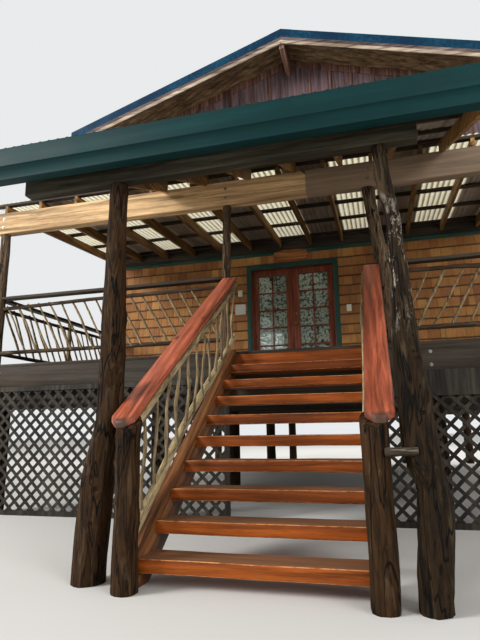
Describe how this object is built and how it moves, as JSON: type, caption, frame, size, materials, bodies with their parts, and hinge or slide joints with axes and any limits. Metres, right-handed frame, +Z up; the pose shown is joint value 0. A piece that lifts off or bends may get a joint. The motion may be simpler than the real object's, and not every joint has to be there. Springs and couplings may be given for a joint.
{
  "type": "stilt house with covered deck and open stair",
  "caption": "Timber house on log stilts with a roofed deck, a wide open stair under a canopy between log posts, branch railings and a pair of glazed doors.",
  "frame": {"origin": "middle of the footprint of the whole house, roof and canopy included, at ground level", "axes": "+X to the right as seen from the stair, +Y from the stair into the house, +Z up"},
  "size_m": [8.8108, 13.494, 8.3924],
  "materials": {
    "stained_timber": "red-brown stained slabs, worn on the treads",
    "log": "peeled logs, dark and weathered",
    "branch_wood": "bare branches, grey-brown",
    "lit_timber": "sawn timber, warm brown",
    "dark_timber": "sawn timber, dark brown and weathered",
    "roof_metal": "corrugated steel, blue-green paint",
    "gutter_metal": "folded steel, dark green paint",
    "translucent_sheet": "translucent corrugated sheet",
    "deck_boards": "sawn boards, weathered",
    "lattice_wood": "thin laths, weathered",
    "shingles": "split shingles, golden to red brown",
    "gable_boards": "upright boards with battens, maroon-brown stain",
    "door_wood": "oiled hardwood, red-brown",
    "door_brass": "aged brass",
    "window_pane": "clear float glass",
    "lace": "white lace, stretched",
    "green_trim": "planed boards, dark green paint",
    "cream_paint": "planed boards, cream paint",
    "plaque_wood": "planed board, bare"
  },
  "bodies": {
    "house": {"stair_treads": "stained_timber", "stair_stringers": "stained_timber", "newel_posts": "log", "handrails": "stained_timber", "stair_branch_rails": "branch_wood", "front_logs": "log", "deck_posts": "branch_wood", "header_beam": "lit_timber", "eave_beam": "dark_timber", "roof_rafters": "dark_timber", "roof_purlins": "dark_timber", "canopy_sheet": "roof_metal", "eave_gutter": "gutter_metal", "deck_roof_sheets": "roof_metal", "skylight_sheets": "translucent_sheet", "wall_ledger": "dark_timber", "deck_boards": "deck_boards", "house_floor": "deck_boards", "floor_joists": "dark_timber", "rim_boards": "dark_timber", "floor_beams": "dark_timber", "stilts": "log", "deck_railings": "branch_wood", "lattice_left": "lattice_wood", "lattice_right": "lattice_wood", "front_wall_left": "shingles", "front_wall_right": "shingles", "wall_over_door": "shingles", "gable_wall": "gable_boards", "side_wall_left": "shingles", "side_wall_right": "shingles", "back_wall": "shingles", "door_frame": "door_wood", "wall_trim": "green_trim", "window_frames": "cream_paint", "window_glass": "window_pane", "roof_boards": "dark_timber", "main_roof_left": "roof_metal", "main_roof_right": "roof_metal", "roof_flashings": "roof_metal", "ridge_beam": "dark_timber", "barge_boards": "cream_paint", "rake_friezes": "gable_boards", "door_plaque": "plaque_wood"},
    "door_left": {"door_leaf_left": "door_wood", "door_glass_left": "window_pane", "lace_left": "lace"},
    "door_right": {"door_leaf_right": "door_wood", "door_knobs": "door_brass", "door_glass_right": "window_pane", "lace_right": "lace"}
  },
  "joints": [
    {"name": "door_left_swing", "type": "hinge", "parent": "house", "child": "door_left", "pos_m": [-0.87, -0.376, 2.9], "axis": [0, 0, 1], "range_deg": [0, 100]},
    {"name": "door_right_swing", "type": "hinge", "parent": "house", "child": "door_right", "pos_m": [0.664, -0.376, 2.9], "axis": [0, 0, -1], "range_deg": [0, 100]}
  ]
}
